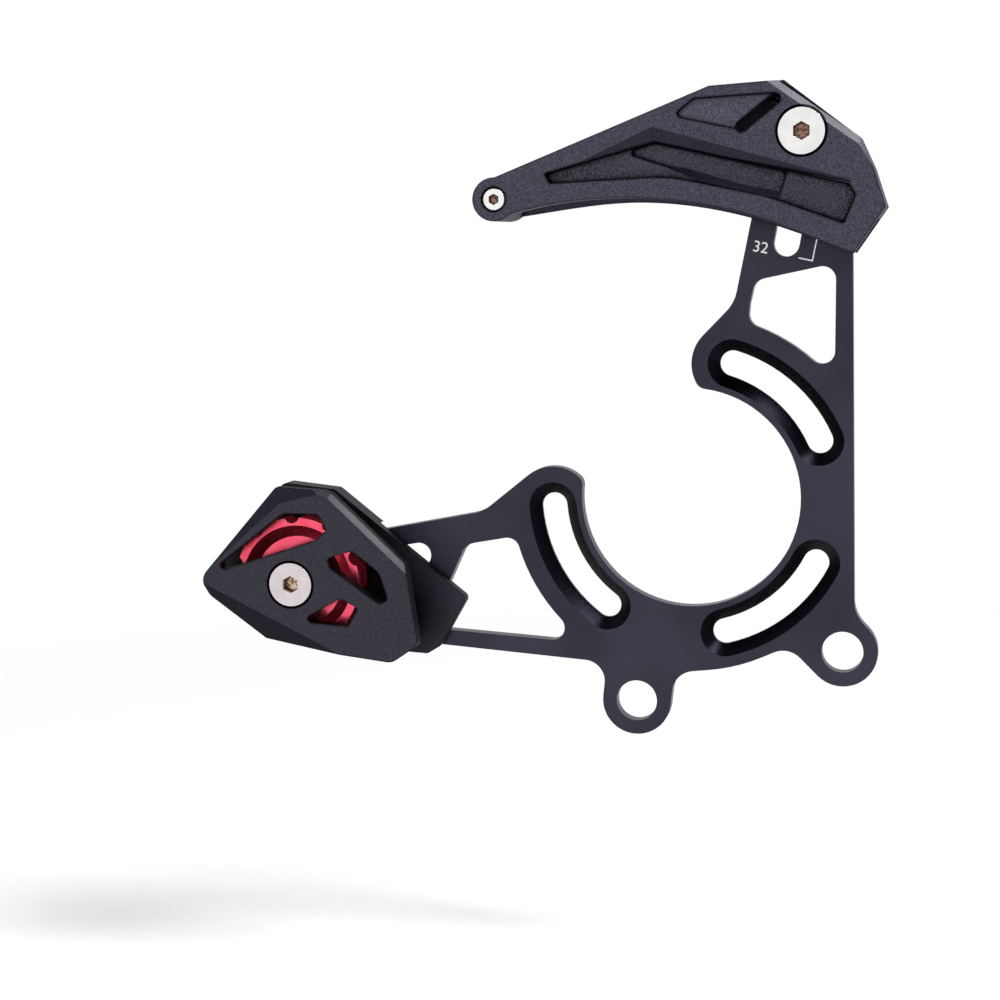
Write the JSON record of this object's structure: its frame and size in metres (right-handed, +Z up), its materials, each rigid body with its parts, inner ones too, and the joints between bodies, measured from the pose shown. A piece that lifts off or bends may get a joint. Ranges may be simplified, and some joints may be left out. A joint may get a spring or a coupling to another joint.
{
  "type": "bicycle chain guide",
  "caption": "Slotted black back plate with a moulded upper chain guide and a caged red roller pulley.",
  "frame": {"origin": "bottom bracket axis at the plate's back face", "axes": "+X forward along the bicycle, +Y towards the frame, +Z up"},
  "size_m": [0.1815, 0.03, 0.1687],
  "materials": {
    "plate_anodised": "satin anodised",
    "moulded_black": "fine grain",
    "bolt_steel": "bright",
    "pulley_red": "red anodised",
    "bearing_steel": "ground",
    "spacer_aluminium": "turned"
  },
  "bodies": {
    "back_plate": {"back_plate": "plate_anodised"},
    "upper_guide": {"upper_guide_outer": "moulded_black", "upper_guide_inner": "moulded_black", "upper_guide_bolt": "bolt_steel", "upper_guide_sleeve": "spacer_aluminium", "upper_guide_washer": "bolt_steel", "upper_guide_nut": "bolt_steel", "guide_tip_bolt": "bolt_steel", "guide_tip_nut": "bolt_steel"},
    "roller_cage": {"roller_cover_outer": "moulded_black", "roller_cover_inner": "moulded_black", "roller_bolt": "bolt_steel", "roller_washer": "bolt_steel", "roller_nut": "bolt_steel", "bearing_inner_ring": "bearing_steel", "roller_spacer_front": "spacer_aluminium", "roller_spacer_rear": "spacer_aluminium"},
    "pulley_wheel": {"pulley": "pulley_red", "bearing_outer_ring": "bearing_steel", "bearing_balls": "bearing_steel", "bearing_shield_front": "bearing_steel", "bearing_shield_rear": "bearing_steel"}
  },
  "joints": [
    {"name": "upper_guide_slide", "type": "slide", "parent": "back_plate", "child": "upper_guide", "axis": [0.1942, 0, 0.981], "range_m": [-0.0155, 0.0002]},
    {"name": "roller_cage_slide", "type": "slide", "parent": "back_plate", "child": "roller_cage", "axis": [0.9848, 0, 0.1736], "range_m": [-0.0038, 0.0163]},
    {"name": "pulley_spin", "type": "hinge", "parent": "roller_cage", "child": "pulley_wheel", "pos_m": [-0.10324, -0.01378, -0.0209], "axis": [0, 1, 0], "continuous": true}
  ]
}
